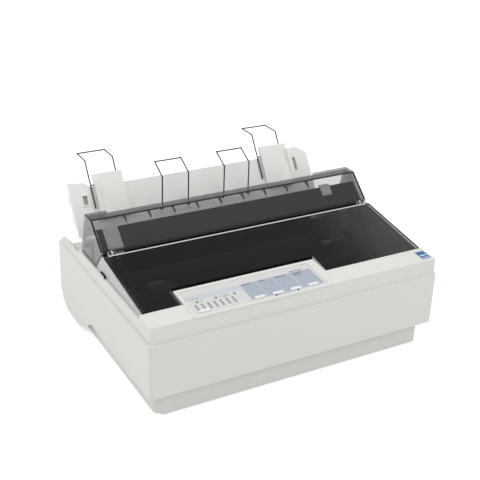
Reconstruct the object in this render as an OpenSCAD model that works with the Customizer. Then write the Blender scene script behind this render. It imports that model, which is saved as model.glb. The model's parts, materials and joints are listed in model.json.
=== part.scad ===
/* [Case] */
// Width of the upper housing over its side walls
case_w = 366; // [360:1:374]
// Depth of the upper housing over its front and rear walls
case_d = 275; // [272:1:280]
// Thickness of the moulded case walls
wall = 2.5; // [2:0.25:3]
// Height of the rubber feet under the lower case
foot_h = 1.5; // [1:0.25:3]
// Height of the seam between lower case and upper housing
seam_h = 28; // [26:0.5:30]
// Height of the ledge that runs round the housing
ledge_h = 91.6; // [89:0.2:93]
// Inset of the upper band above the ledge
band_inset = 2.5; // [2:0.25:3]
// Inset of the lower case inside the housing sides
skirt_inset = 10; // [8:0.5:12]
// Height of the side rims that the covers sit between
rim_h = 107; // [106:0.25:108]
// Height of the rear deck behind the covers
deck_h = 82; // [80:0.5:84]
// Radius of the housing corners seen from above
corner_r = 4; // [2:0.5:6]

/* [Covers] */
// Thickness of the smoked covers
cover_t = 2; // [1.6:0.1:2.4]
// Height of the crown of the rear cover
crown_h = 159; // [157:0.5:161]
// Height of the cover seam
cover_seam_h = 130.5; // [130:0.25:131]
// Height of the strip at the front edge of the front cover
strip_h = 113; // [112:0.25:114]
// Side clearance between covers and housing rims
cover_gap = 0.4; // [0.3:0.1:0.8]
// Number of comb ribs inside the rear cover
rib_count = 9; // [5:1:13]
// Radius of the cover hinge pins
hinge_pin_r = 2; // [1.5:0.1:2.2]

/* [Paper guide] */
// Lean of the paper guide above the horizontal, in degrees
guide_angle = 56.3; // [55:0.1:58]
// Thickness of the paper guide plate
guide_t = 2.2; // [1.8:0.1:2.6]
// Length of the guide plate up its slope
guide_l = 65; // [63:0.5:66]
// Radius of the wire paper supports
wire_r = 0.8; // [0.7:0.05:1]
// Spread between the two legs of a wire support
wire_spread = 35; // [33:0.5:37]

/* [Print mechanism] */
// Radius of the platen rubber
platen_r = 16.5; // [16:0.1:16.8]
// Radius of the platen shaft
platen_shaft_r = 4; // [3.5:0.1:4.5]
// Room between the left side frame and the platen rubber
platen_room = 19.2; // [18:0.2:21]
// Room between the platen rubber and the right side frame
lever_room = 49.2; // [46:0.2:54]
// Radius of the carriage guide shaft
rail_r = 5; // [4.5:0.1:5.5]
// Radial running clearance of turning and sliding fits
running_gap = 0.05; // [0.03:0.01:0.08]
// Radius of the pressure rollers under the platen
pressure_r = 5; // [4.5:0.1:5.2]
// Thickness of the sheet steel side frames
frame_t = 1.8; // [1.5:0.1:2]

/* [Drive] */
// Gear tooth module
gear_m = 0.8; // [0.8:0.01:0.82]
// Teeth of the platen gear
platen_teeth = 45; // [45:1:45]
// Teeth of the small wheel of the reduction gear
small_teeth = 15; // [15:1:15]
// Teeth of the large wheel of the reduction gear
large_teeth = 40; // [40:1:40]
// Teeth of the paper motor pinion
motor_teeth = 12; // [12:1:12]
// Radius of the belt pulleys
pulley_r = 6; // [5.5:0.1:6.4]
// Radius of the platen knob
knob_r = 16; // [14:0.5:17]
// Radius of the round pocket around the platen knob
pocket_r = 21; // [20:0.5:21.5]

/* [Controls] */
// Pitch of the panel buttons
button_pitch = 22.3; // [20:0.1:23]
// Length of a panel button
button_l = 13.5; // [12:0.5:15]
// Width of a panel button
button_w = 4.4; // [4:0.1:5]
// Height that the rocker switch opening takes in the side wall
switch_h = 24; // [22:0.5:26]

/* [Electronics] */
// Thickness of the circuit boards
board_t = 1.6; // [1.2:0.1:2]
// Radius of the two motors
motor_r = 17.5; // [16:0.25:17.5]

/* [Hidden] */
$fn = 48;
eps = 0.01;
slip = 0.3;

// case
hx = case_w / 2;
hd = case_d / 2;
band_x = hx - band_inset;
inner_x = band_x - wall;
skirt_x = hx - skirt_inset;
skirt_y = hd - 6.5;
floor_top = foot_h + wall;
strip_front_y = -hd + 4.1;
strip_front_h = strip_h - 2.2;
strip_rear_y = -hd + 30.5;
strip_slope = (strip_h - strip_front_h) / (strip_rear_y - strip_front_y);
strip_angle = atan(strip_slope);
shoulder_front_y = 67;
shoulder_rear_h = rim_h - 13;
shoulder_angle = atan((rim_h - shoulder_rear_h) / (hd - shoulder_front_y));
deck_front_y = 74;
deck_x = hx - 19;
flange_t = 2.5;

// covers
cover_x = inner_x - cover_gap;
cover_front_y = strip_rear_y + 0.5;
cover_seam_y = 2;
cover_slope = (cover_seam_h - strip_h) / (cover_seam_y - cover_front_y);
cover_bottom = rim_h - 1;
crown_front_y = 34;
crown_rear_y = 52;
seam_foot_y = 22;
cover_rear_y = shoulder_front_y;
hinge_y = cover_seam_y + 0.5;
hinge_h = cover_seam_h - 1.2;
ear_r = hinge_pin_r + 2;
ear_w = 2.5;
plate_end_y = cover_seam_y - 6;
notch_x0 = -133;
notch_x1 = 46;
notch_y = -78;
face_slope = (crown_h - cover_seam_h - 0.5) / (crown_front_y - cover_seam_y - 0.8);

// frames
frame_x = inner_x - 11;
frame_in = frame_x - frame_t;
pin_x0 = frame_in - ear_w - 1;
pin_x1 = frame_x + ear_w + 1;

// platform of the control panel
panel_x0 = notch_x0 + 2;
panel_x1 = notch_x1 - 2;
panel_rear_y = notch_y - 3.5;
panel_rise = 0.8;
recess_d = 1;
label_t = 0.6;
label_x0 = panel_x0 + 3;
label_x1 = panel_x1 - 11;
label_y0 = strip_front_y + 2.4;
label_y1 = panel_rear_y - 4.5;
button_y = strip_front_y + 8;
button_last_x = 17;
pause_x = label_x0 + 12;
button_travel = 0.6;
board_h = strip_front_h - 11.8;

// paper guide, hinged on brackets that stand on the rear deck
guide_y = 77;
guide_h = rim_h + 2.5;
lug_r = 5;
bracket_w = 4;
arm_l = 73;
guide_pin_r = 2;
left_lug_x = -hx + 11;
right_lug_x = hx - 37;
left_arm_x = left_lug_x - 2.2;
right_arm_x = hx - 52;
plate_x0 = -hx + 33;
plate_x1 = hx - 43;
lug_w = 6;
edge_top = 79;
edge_bottom = 36;
edge_back = 2.6;
edge_t = 1.8;
pivot_l = guide_l + 1.5;
wire_z = 1.3;
wire_l = 97;
wire_reach = 26;
left_wire_x = -hx + 36;
right_wire_x = hx - 102;
inner_wire_xs = [-65, 19.5];
inner_pivot_y = 90;
inner_wire_h = 172;
rear_reach = guide_y + wire_l * cos(guide_angle) - wire_z * sin(guide_angle) + wire_reach + wire_r;
case_y = -(rear_reach - hd) / 2;

// print mechanism
platen_y = 16;
platen_h = 74;
platen_x0 = -frame_in + platen_room;
platen_x1 = frame_in - lever_room;
platen_l = platen_x1 - platen_x0;
carriage_travel = platen_l - 56;
rail_y = -34;
rail_h = 54;
base_h = 30;
base_t = 1.6;
base_top = base_h + base_t;
base_y0 = -74;
base_y1 = 62;
pressure_a = -100;
pressure_d = platen_r + slip + pressure_r;
pressure_y = platen_y + pressure_d * cos(pressure_a);
pressure_h = platen_h + pressure_d * sin(pressure_a);
feed_shaft_r = 1.5;
exit_y = 16;
exit_h = 112;
exit_r = 7;
exit_drop = 6.4;
exit_end_y = 29.2;
exit_t = 2.6;
pan_r = platen_r + 2.5;
pan_t = 1;
chute_y = 71;
chute_h = rim_h - 1;
carriage_x = (platen_x0 + platen_x1 - carriage_travel) / 2;
carriage_w = 52;
head_y = platen_y - platen_r - 1.9;
ribbon_y = head_y + 0.4;
belt_y = -46;
belt_h = 36;
belt_w = 6;
belt_t = 1.2;
pulley_x0 = platen_x0 + 10;
pulley_x1 = platen_x1 - 4;
belt_r = pulley_r + slip;

// gears on the left side frame
m = gear_m;
platen_gear_x = -frame_x - 5;
big_gear_x = platen_gear_x - 4.4;
gear_w = 3.8;
reduction_a = -50;
reduction_d = m * (platen_teeth + small_teeth) / 2;
reduction_y = platen_y + reduction_d * cos(reduction_a);
reduction_h = platen_h + reduction_d * sin(reduction_a);
motor_a = -60;
motor_d = m * (large_teeth + motor_teeth) / 2;
motor_y = reduction_y + motor_d * cos(motor_a);
motor_h = reduction_h + motor_d * sin(motor_a);
stud_r = 2;

// electronics
board_z = floor_top + 4;
board_top = board_z + board_t;
board_y1 = hd - 13.5;
power_x0 = -hx + 28;
power_x1 = power_x0 + 107;
main_x0 = power_x1 + 8;
main_x1 = hx - 28;
main_y0 = -hd + 37.5;
inlet_x = -hx + 57;
parallel_x = hx - 154;
parallel_w = 67;
serial_x = hx - 69;
serial_w = 13;

housing_colour = [0.88, 0.88, 0.85];
smoke_colour = [0.16, 0.16, 0.17, 0.8];
steel_colour = [0.62, 0.64, 0.66];
black_colour = [0.12, 0.12, 0.13];
board_colour = [0.10, 0.36, 0.20];
gear_colour = [0.85, 0.84, 0.78];

function strip_at(y) = strip_h + (y - strip_rear_y) * strip_slope;
function cover_at(y) = strip_h + (y - cover_front_y) * cover_slope;
function exit_at(y) = face_at(y) - exit_drop;
function face_at(y) = cover_seam_h + 0.5 + (y - cover_seam_y - 0.8) * face_slope;

// Moves the case, centred on its own footprint, so the whole part is centred on the origin
module placed() translate([0, case_y, 0]) children();

// Extrudes an outline drawn in depth and height from x0 to x1
module across(x0, x1) translate([x0, 0, 0]) rotate([90, 0, 90]) linear_extrude(x1 - x0) children();

// Round bar along X
module bar(x0, x1, y, z, r, sides = 48)
    translate([x0, y, z]) rotate([0, 90, 0]) cylinder(h = x1 - x0, r = r, $fn = sides);

module block(x0, x1, y0, y1, z0, z1) translate([x0, y0, z0]) cube([x1 - x0, y1 - y0, z1 - z0]);

// Same shape on the left and on the right
module both_sides() {
    children();
    mirror([1, 0, 0]) children();
}

module rounded_plan(x, y, r) {
    square([2 * x, 2 * (y - r)], center = true);
    square([2 * (x - r), 2 * y], center = true);
    for (sx = [-1, 1], sy = [-1, 1]) translate([sx * (x - r), sy * (y - r)]) circle(r = r);
}

// Straight rod between two points
module rod(a, b, r) {
    d = b - a;
    translate(a) rotate([0, acos(d.z / norm(d)), atan2(d.y, d.x)]) cylinder(h = norm(d), r = r, $fn = 16);
}

// Wire that follows a list of points, its straight runs crossing by one radius at each bend
module wire_path(points, r) {
    for (i = [0 : len(points) - 2]) {
        along = r * (points[i + 1] - points[i]) / norm(points[i + 1] - points[i]);
        rod(points[i] - (i == 0 ? 0 : 1) * along, points[i + 1] + (i == len(points) - 2 ? 0 : 1) * along, r);
    }
}

// Outline of a toothed wheel, with a tooth centred on the angle turn
module gear_outline(teeth, turn) {
    rp = m * teeth / 2;
    step = 360 / teeth;
    root = rp - 1.2 * m;
    tip = rp + 0.75 * m;
    polygon([for (i = [0 : teeth - 1], k = [[root, -0.33], [tip, -0.12], [tip, 0.12], [root, 0.33]])
        [k[0] * cos(turn + (i + k[1]) * step), k[0] * sin(turn + (i + k[1]) * step)]]);
}

module gear(x, width, y, z, teeth, turn, bore) {
    across(x, x + width) translate([y, z]) difference() {
        gear_outline(teeth, turn);
        circle(r = bore);
    }
}

// Places children on the control panel plane, with Z along its normal
module on_panel(x, y) translate([x, y, strip_at(y) + panel_rise]) rotate([strip_angle, 0, 0]) children();

module capsule(length, width, height) {
    translate([-(length - width) / 2, -width / 2, 0]) cube([length - width, width, height]);
    for (s = [-1, 1]) translate([s * (length - width) / 2, 0, 0])
        cylinder(h = height, r = width / 2, $fn = 24);
}

// Places children in the paper guide's own frame: Y up its slope, Z towards the paper
module on_guide() translate([0, guide_y, guide_h]) rotate([guide_angle, 0, 0]) children();

function button_x(i) = button_last_x - (4 - i) * button_pitch;

// ---------------------------------------------------------------- case

module lower_case() {
    screw_r = 1.8;
    color(housing_colour) placed() difference() {
        union() {
            translate([0, 0, foot_h]) linear_extrude(seam_h - foot_h) skirt_plan(0);
            translate([0, 0, seam_h]) linear_extrude(flange_t)
                rounded_plan(hx - wall - slip, hd - wall - slip, corner_r);
        }
        translate([0, 0, floor_top]) linear_extrude(seam_h + flange_t) skirt_plan(wall);
        for (p = foot_points) translate([p.x, p.y, foot_h - 1]) cylinder(h = wall + 2, r = 3);
        for (p = screw_points) translate([p.x, p.y, 0]) cylinder(h = 12, r = screw_r + 0.02);
        for (s = [[parallel_x, parallel_w], [serial_x, serial_w]])
            block(s[0] - 1, s[0] + s[1] + 1, skirt_y - wall - 1, skirt_y + 1, 8, 24);
        for (i = [0 : 9]) block(-120 + 12 * i, -114 + 12 * i, -20, 20, 0, 8);
    }
    color(housing_colour) placed() {
        for (p = pillar_points) translate([p.x, p.y, floor_top]) cylinder(h = base_h - floor_top, r = 4);
        for (p = board_points) translate([p.x, p.y, floor_top]) cylinder(h = board_z - floor_top, r = 3);
        for (p = screw_points) translate([p.x, p.y, floor_top]) difference() {
            cylinder(h = 20 - floor_top, r = 5);
            translate([0, 0, -1]) cylinder(h = 20, r = screw_r + 0.02);
        }
    }
}
foot_points = [for (x = [-hx + 33, hx - 33], y = [-hd + 25.5, hd - 29.5]) [x, y]];
screw_points = [for (x = [-hx + 21, hx - 21], y = [-hd + 18.5, hd - 18.5]) [x, y]];
pillar_points = [[-frame_in + 65, base_y0 + 8], [frame_in - 45, base_y0 + 8], [-frame_in + 65, base_y1 - 8],
    [-20, base_y1 - 8]];
board_points = concat(
    [for (x = [power_x0 + 5, power_x1 - 10], y = [board_y1 - 50, board_y1 - 8]) [x, y]],
    [for (x = [main_x0 + 8, main_x1 - 5], y = [main_y0 + 8, board_y1 - 14]) [x, y]]);

module skirt_plan(inset) {
    x = skirt_x - inset;
    y = skirt_y - inset;
    c = 8;
    polygon([[-x + c, -y], [x - c, -y], [x, -y + c], [x, y - c],
        [x - c, y], [-x + c, y], [-x, y - c], [-x, -y + c]]);
}

module rubber_feet() {
    color(black_colour) placed() for (p = foot_points) translate([p.x, p.y, 0]) {
        cylinder(h = foot_h, r = 9);
        cylinder(h = foot_h + wall, r = 2.98);
    }
}

module case_screws() {
    color(steel_colour) placed() for (p = screw_points) translate([p.x, p.y, foot_h]) {
        cylinder(h = 40, r = 1.8, $fn = 24);
        translate([0, 0, -0.8]) cylinder(h = 0.8, r = 3.5);
    }
}

module upper_housing() {
    color(housing_colour) placed() difference() {
        union() {
            difference() {
                housing_outside();
                housing_inside();
            }
            panel_platform();
            both_sides() housing_ledges();
            housing_bosses();
            bar(frame_x + 1, hx - 1, platen_y, platen_h, pocket_r + 2, 96);
        }
        bar(frame_x + 3, hx + 1, platen_y, platen_h, pocket_r, 96);
        bar(frame_x, frame_x + 4, platen_y, platen_h, platen_shaft_r + 2);
        panel_cuts();
        rear_cuts();
        block(hx - 6, hx + 1, -106, -82, 44, 44 + switch_h);
        for (p = screw_points) translate([p.x, p.y, 0]) cylinder(h = 42, r = 1.82);
    }
}

module housing_outside() {
    translate([0, 0, seam_h]) linear_extrude(ledge_h - seam_h) rounded_plan(hx, hd, corner_r);
    both_sides() across(hx - wall, hx) polygon([[30, seam_h + 1], [48, seam_h - 11.5], [70, seam_h - 23.3],
        [112, seam_h - 23.3], [126, seam_h - 16], [hd - 2, seam_h], [hd - 2, seam_h + 1]]);
    intersection() {
        translate([0, 0, ledge_h - 1]) linear_extrude(60) rounded_plan(band_x, hd, corner_r);
        across(-hx, hx) polygon([[-hd + 3, ledge_h - 1], [strip_front_y, strip_front_h],
            [strip_rear_y, strip_h], [strip_rear_y, rim_h], [shoulder_front_y, rim_h],
            [hd, shoulder_rear_h], [hd, ledge_h - 1]]);
    }
}

module housing_inside() {
    linear_extrude(deck_h - wall) rounded_plan(hx - wall, hd - wall, corner_r - 1);
    intersection() {
        linear_extrude(ledge_h - wall) rounded_plan(hx - wall, hd - wall, corner_r - 1);
        block(-hx, hx, -hd, deck_front_y, -1, ledge_h);
    }
    across(-inner_x, inner_x) polygon([[-hd + 5.6, ledge_h - 10],
        [strip_front_y + wall, strip_front_h - wall], [strip_rear_y - 6, strip_h - wall - 0.5],
        [strip_rear_y - 6, strip_h - 5.5], [strip_rear_y + 6, strip_h - 5.5], [strip_rear_y + 6, 140],
        [deck_front_y, 140], [deck_front_y, ledge_h - 10]]);
    block(-inner_x, inner_x, strip_rear_y, strip_rear_y + 7, strip_h - 5.4, 140);
    // deck between the rear shoulders
    translate([0, deck_front_y - eps, 0]) rotate([90, 0, 180]) linear_extrude(80) polygon(
        [[-deck_x, deck_h], [deck_x, deck_h], [deck_x + 32, deck_h + 40], [-deck_x - 32, deck_h + 40]]);
    // outward slope of each rear shoulder
    translate([0, shoulder_front_y, rim_h]) rotate([-shoulder_angle, 0, 0]) both_sides()
        rotate([90, 0, 180]) linear_extrude(90)
            polygon([[hx - 9.4, 0], [hx + 1, -5.6], [hx + 1, 6], [hx - 9.4, 6]]);
    // hollow of each rear shoulder
    both_sides() block(deck_x + 8, inner_x, deck_front_y - 1, hd - wall, deck_h - wall - 1, ledge_h - 3);
}

module panel_platform() {
    intersection() {
        across(panel_x0, panel_x1) polygon([[strip_front_y - 0.6, strip_at(strip_front_y) - 1],
            [strip_front_y - 0.3, strip_at(strip_front_y) + panel_rise],
            [panel_rear_y, strip_at(panel_rear_y) + panel_rise], [panel_rear_y, strip_at(panel_rear_y) - 7],
            [panel_rear_y - wall, strip_at(panel_rear_y) - 7],
            [panel_rear_y - wall, strip_at(panel_rear_y - wall) - wall],
            [strip_front_y + 1, strip_at(strip_front_y) - wall]]);
        linear_extrude(140) polygon([[panel_x0, -hd - 5], [panel_x1 - 9, -hd - 5], [panel_x1, -hd + 26],
            [panel_x1, 0], [panel_x0, 0]]);
    }
    for (x = [panel_x0, panel_x1 - wall]) across(x, x + wall) polygon([
        [strip_rear_y, strip_at(strip_rear_y) - 7], [panel_rear_y, strip_at(panel_rear_y) - 7],
        [panel_rear_y, strip_at(panel_rear_y)], [strip_rear_y, strip_at(strip_rear_y)]]);
    bar(panel_x0, panel_x1 - 9, strip_front_y - 0.2, strip_at(strip_front_y) + 0.1, 1.1, 24);
    // posts that carry the panel board
    for (x = [panel_x0 + 9, panel_x1 - 16], y = [panel_rear_y - 12]) translate([x, y, board_h + board_t])
        cylinder(h = strip_at(y) - wall / 2 - board_h - board_t, r = 2.5, $fn = 24);
}

module panel_cuts() {
    panel_mid = (label_y0 + label_y1) / 2;
    on_panel((label_x0 + label_x1) / 2, panel_mid) translate([0, 0, -recess_d]) linear_extrude(5)
        square([label_x1 - label_x0, label_y1 - label_y0], center = true);
    for (i = [1 : 4]) on_panel(button_x(i), button_y) translate([0, 0, -8])
        capsule(button_l + 2 * slip, button_w + 2 * slip, 12);
    on_panel(pause_x, button_y) translate([0, 0, -8]) capsule(button_l + 2 * slip, button_w + 2 * slip, 12);
    for (x = lamp_xs) on_panel(x, lamp_y) translate([0, 0, -8]) cylinder(h = 12, r = 1.55, $fn = 24);
}
lamp_xs = [for (i = [0 : 2]) label_x0 + 12 + 22 * i];
lamp_y = label_y0 + 22;

module rear_cuts() {
    block(inlet_x - 14, inlet_x + 14, hd - wall - 1, hd + 1, 36, 58);
    for (i = [0 : 11]) block(-70 + 12 * i, -64 + 12 * i, hd - wall - 1, hd + 1, 40, 66);
}

// Ledges inside the rims that the side walls of the covers rest on
module housing_ledges() {
    block(inner_x - 4, inner_x + 1, strip_rear_y, -24, cover_bottom - 3.2, cover_bottom);
    block(inner_x - 4, inner_x + 1, seam_foot_y + 6, deck_front_y, cover_bottom - 3.2, cover_bottom);
}

module housing_bosses() {
    for (p = screw_points) {
        s = sign(p.x);
        rib_x = [p.x + s, s * (hx - 1)];
        rib_low = seam_h + flange_t + slip;
        translate([p.x, p.y, 20.3]) cylinder(h = 30, r = 5);
        block(min(rib_x), max(rib_x), p.y - 1.5, p.y + 1.5, rib_low, 50.3);
    }
}

// ---------------------------------------------------------------- metalwork

module frame_outline() {
    polygon([[-70, 24], [-70, 66], [-44, 76], [-14, 84], [-2, 104], [hinge_y - ear_r, hinge_h],
        [hinge_y + ear_r, hinge_h], [hinge_y + ear_r + 3, hinge_h - 8], [30, hinge_h - 13], [50, 96],
        [62, 70], [62, 24]]);
    translate([hinge_y, hinge_h]) circle(r = ear_r);
}

module side_frames() {
    bush_r = platen_shaft_r + 4;
    color(steel_colour) placed() {
        for (s = [-1, 1]) difference() {
            across(s * (frame_x - frame_t / 2) - frame_t / 2, s * (frame_x - frame_t / 2) + frame_t / 2)
                difference() {
                    frame_outline();
                    translate([platen_y, platen_h]) circle(r = bush_r + 0.02);
                    translate([rail_y, rail_h]) circle(r = rail_r + 0.02);
                    translate([pressure_y, pressure_h]) circle(r = feed_shaft_r + running_gap);
                    translate([exit_y, exit_h]) circle(r = feed_shaft_r + running_gap);
                    translate([hinge_y, hinge_h]) circle(r = hinge_pin_r + 0.02);
                    translate([lever_y, lever_h]) circle(r = lever_pin_r + running_gap);
                    if (s < 0) translate([motor_y, motor_h]) circle(r = m * motor_teeth / 2 + 3);
                }
        }
        bar(big_gear_x - 0.3, -frame_x + eps, reduction_y, reduction_h, stud_r);
    }
}
lever_y = 46;
lever_h = 84;
lever_pin_r = 2.5;

module hinge_pins() {
    color(steel_colour) placed() both_sides() bar(pin_x0, pin_x1, hinge_y, hinge_h, hinge_pin_r);
}

module base_plate() {
    color(steel_colour) placed() {
        difference() {
            block(-frame_in, frame_in, base_y0, base_y1, base_h, base_top);
            block(-frame_in - 1, -frame_in + 27, motor_y - motor_r - 2, base_y1 + 1, base_h - 1, 50);
            translate([pulley_x0, belt_y, base_h - 1]) cylinder(h = 5, r = 5);
        }
        translate([pulley_x1, belt_y, base_top]) cylinder(h = belt_h + belt_w + 2 - base_top, r = 2);
    }
}

module front_rail() {
    color(steel_colour) placed() {
        block(-frame_in, frame_in, base_y0, base_y0 + 1.6, base_top, 78.4);
        block(-frame_in, frame_in, base_y0, base_y0 + 16, 78.4, 80);
    }
}

module guide_shaft() {
    color(steel_colour) placed() bar(-frame_x - 2, frame_x + 0.6, rail_y, rail_h, rail_r);
}

module platen_bushes() {
    r = platen_shaft_r + 4;
    color(gear_colour) placed() both_sides() difference() {
        union() {
            bar(frame_in - 2, frame_in, platen_y, platen_h, r + 2);
            bar(frame_in - 2, frame_x, platen_y, platen_h, r);
        }
        bar(frame_in - 3, frame_x + 1, platen_y, platen_h, platen_shaft_r + running_gap);
    }
}

// Curved pan round the back and underside of the platen, with a straight paper chute
module paper_pan() {
    dy = chute_y - platen_y;
    dz = chute_h - platen_h;
    dist = norm([dy, dz]);
    tangent = atan2(dz, dy) - acos(pan_r / dist);
    chute_len = sqrt(dist * dist - pan_r * pan_r);
    front = -150;
    color([0.30, 0.31, 0.33]) placed() {
        difference() {
            across(platen_x0 - 4, platen_x1 + 14) {
                translate([platen_y, platen_h]) difference() {
                    circle(r = pan_r + pan_t, $fn = 96);
                    circle(r = pan_r, $fn = 96);
                    polygon([[0, 0], 90 * [cos(front), sin(front)], [-90, 90], [90, 90],
                        90 * [cos(tangent), sin(tangent)]]);
                }
                translate([platen_y, platen_h]) rotate(tangent)
                    translate([pan_r, 0]) square([pan_t, chute_len]);
            }
            for (i = [0 : 5]) block(roller_x(i) - 1, roller_x(i) + 19, platen_y - 12, platen_y + 9, 40, 64);
        }
        // legs down to the base plate
        for (x = [platen_x0 + 12, platen_x1 + 8]) block(x, x + 2, 36, 38, base_top, 66.5);
    }
}
function roller_x(i) = platen_x0 + 10 + 45 * i;

// Profile of the exit panel, parallel to the face of the rear cover, with a lip down its front edge
module exit_profile() {
    polygon([[10, exit_at(10)], [exit_end_y, exit_at(exit_end_y)],
        [exit_end_y + 1.2, exit_at(exit_end_y + 1.2) - exit_t], [11.8, exit_at(11.8) - exit_t],
        [11.8, hinge_h - 6.7], [10, hinge_h - 6.7]]);
}

module exit_panel() {
    color([0.20, 0.21, 0.22]) placed() {
        across(-hx + 10, -hx + 17) exit_profile();
        difference() {
            across(platen_x0 - 2, hx - 9) exit_profile();
            block(tee_x + 15, tee_x + 19, 18, 27, 110, 170);
        }
    }
}
tee_x = hx - 60;

// Pale end plates of the exit panel, the T shaped tab on it, and the stays on the side frames
module exit_brackets() {
    color([0.72, 0.73, 0.74]) placed() {
        across(-hx + 17, platen_x0 - 2) exit_profile();
        across(tee_x, tee_x + 14) polygon([[20, exit_at(20)], [exit_end_y, exit_at(exit_end_y)],
            [exit_end_y + 3, exit_at(exit_end_y)], [exit_end_y + 3, exit_at(exit_end_y) + 1.5],
            [exit_end_y - 1, exit_at(exit_end_y) + 1.5], [20, exit_at(20) + 1.5]]);
        for (x = [-frame_in, platen_x0 - 4, tee_x + 1, frame_in - 2]) across(x, x + 2)
            polygon([[20, 104], [28, 104], [28, exit_at(28) - exit_t], [13, exit_at(13) - exit_t], [13, 118],
                [20, 118]]);
    }
}

module guide_brackets() {
    color(housing_colour) placed() {
        left = left_lug_x + lug_w + 1 + 1.5;
        right = right_lug_x + lug_w + 1;
        for (x = [left, right]) across(x, x + bracket_w) {
            translate([guide_y, guide_h]) circle(r = 4);
            translate([guide_y - 3, deck_h]) square([7, guide_h - deck_h]);
        }
        bar(left_lug_x - 0.6, left + bracket_w, guide_y, guide_h, guide_pin_r);
        bar(right_lug_x - 0.6, right + bracket_w, guide_y, guide_h, guide_pin_r);
    }
}

// ---------------------------------------------------------------- electronics

module main_board() {
    color(board_colour) placed() difference() {
        block(main_x0, main_x1, main_y0, board_y1, board_z, board_top);
        for (p = pillar_points) translate([p.x, p.y, 0]) cylinder(h = 20, r = 5);
    }
    color(black_colour) placed() {
        block(20, 52, -10, 22, board_top, board_top + 3);
        block(70, 98, -6, 12, board_top, board_top + 3);
        for (i = [0 : 3]) block(-20 + 24 * i, -4 + 24 * i, -70, -58, board_top, board_top + 4);
        for (i = [0 : 2]) translate([main_x1 - 20, -60 + 26 * i, board_top]) cylinder(h = 12, r = 5);
        block(110, 118, 30, 70, board_top, board_top + 9);
    }
}

module power_board() {
    color(board_colour) placed() block(power_x0, power_x1, board_y1 - 56, board_y1, board_z, board_top);
    color(black_colour) placed() {
        for (i = [0 : 1]) translate([power_x1 - 18, board_y1 - 40 + 26 * i, board_top])
            cylinder(h = 30, r = 9);
        block(power_x1 - 44, power_x1 - 41, board_y1 - 48, board_y1 - 4, board_top, board_top + 32);
    }
}

// Core with the windings round its middle
module transformer() {
    x = power_x0 + 3;
    y = board_y1 - 52;
    color([0.55, 0.42, 0.25]) placed() {
        block(x, x + 48, y, y + 36, board_top, board_top + 12);
        block(x + 6, x + 42, y - 4, y + 40, board_top + 12, board_top + 32);
        block(x, x + 48, y, y + 36, board_top + 32, board_top + 42);
    }
}

module power_inlet() {
    color(black_colour) placed() difference() {
        union() {
            block(inlet_x - 14 + slip, inlet_x + 14 - slip, hd - 24, hd - 0.5, 36 + slip, 58 - slip);
            block(inlet_x - 18, inlet_x + 18, hd - wall - 2, hd - wall, 32, 62);
        }
        block(inlet_x - 11, inlet_x + 11, hd - 18, hd + 1, 39.5, 54.5);
    }
    color(steel_colour) placed() for (x = [-6, 0, 6])
        block(inlet_x + x - 1, inlet_x + x + 1, hd - 20, hd - 5, 45, 49);
}

module rear_sockets() {
    back = skirt_y - 0.6;
    color([0.7, 0.7, 0.68]) placed() {
        difference() {
            block(parallel_x, parallel_x + parallel_w, back - 22.4, back, board_top, board_top + 13);
            block(parallel_x + 4, parallel_x + parallel_w - 4, back - 7.4, back + 1,
                board_top + 3, board_top + 10);
        }
        block(parallel_x + 7, parallel_x + parallel_w - 7, back - 7.4 - eps, back - 4.8, board_top + 5.5,
            board_top + 7.5);
        difference() {
            block(serial_x, serial_x + serial_w, back - 20.4, back, board_top, board_top + 11);
            block(serial_x + 2, serial_x + serial_w - 2, back - 9.4, back + 1,
                board_top + 1.5, board_top + 9.5);
        }
    }
}

module carriage_motor() {
    color([0.35, 0.35, 0.37]) placed() translate([pulley_x0, belt_y, 0]) difference() {
        union() {
            translate([0, 0, base_h - 21.5]) cylinder(h = 20, r = motor_r);
            translate([-motor_r, -motor_r, base_h - 1.5]) cube([2 * motor_r, 2 * motor_r, 1.5]);
        }
        translate([0, 0, base_h - 10]) cylinder(h = 20, r = 2 + running_gap);
    }
}

module paper_motor() {
    color([0.35, 0.35, 0.37]) placed() difference() {
        union() {
            bar(-frame_in + 1.5, -frame_in + 22, motor_y, motor_h, motor_r);
            across(-frame_in, -frame_in + 1.5) translate([motor_y - motor_r, motor_h - motor_r])
                square(2 * motor_r);
        }
        bar(-frame_in - 1, -frame_in + 10, motor_y, motor_h, 1.5 + running_gap);
    }
}

module drive_belt() {
    color(black_colour) placed() translate([0, belt_y, belt_h]) linear_extrude(belt_w) difference() {
        belt_loop(belt_r + belt_t);
        belt_loop(belt_r);
    }
}

module belt_loop(r) {
    translate([pulley_x0, -r]) square([pulley_x1 - pulley_x0, 2 * r]);
    for (x = [pulley_x0, pulley_x1]) translate([x, 0]) circle(r = r);
}

ribbon_x0 = platen_x0 - 12;
ribbon_x1 = platen_x1 + 16;
module ribbon_cartridge() {
    color(black_colour) placed() difference() {
        union() {
            block(ribbon_x0, ribbon_x1, base_y0 + 1, base_y0 + 26, 80, 97);
            for (x = [ribbon_x0, ribbon_x1 - 9]) across(x, x + 9) polygon([[base_y0 + 20, 80],
                [base_y0 + 20, 97], [-12, 92], [-3, 84], [-3, 66], [-10, 66], [-22, 80]]);
        }
        translate([ribbon_x1 - 26, base_y0 + 14, 85]) cylinder(h = 20, r = 4 + running_gap);
        for (x = [ribbon_x0 - 1, ribbon_x1 - 7]) block(x, x + 8, ribbon_y - 1.6, 0, 60, 100);
    }
}

module ribbon() {
    color([0.05, 0.05, 0.06]) placed()
        block(ribbon_x0 + 3, ribbon_x1 - 3, ribbon_y, ribbon_y + 0.3, platen_h - 7, platen_h + 7);
}

module head_cable() {
    color([0.85, 0.85, 0.82]) placed() {
        block(-60, 40, base_y0 + 3, base_y0 + 13, base_top, base_top + 0.6);
        block(-60.6, -60, base_y0 + 3, base_y0 + 13, base_top, base_top + 8);
    }
}

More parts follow.
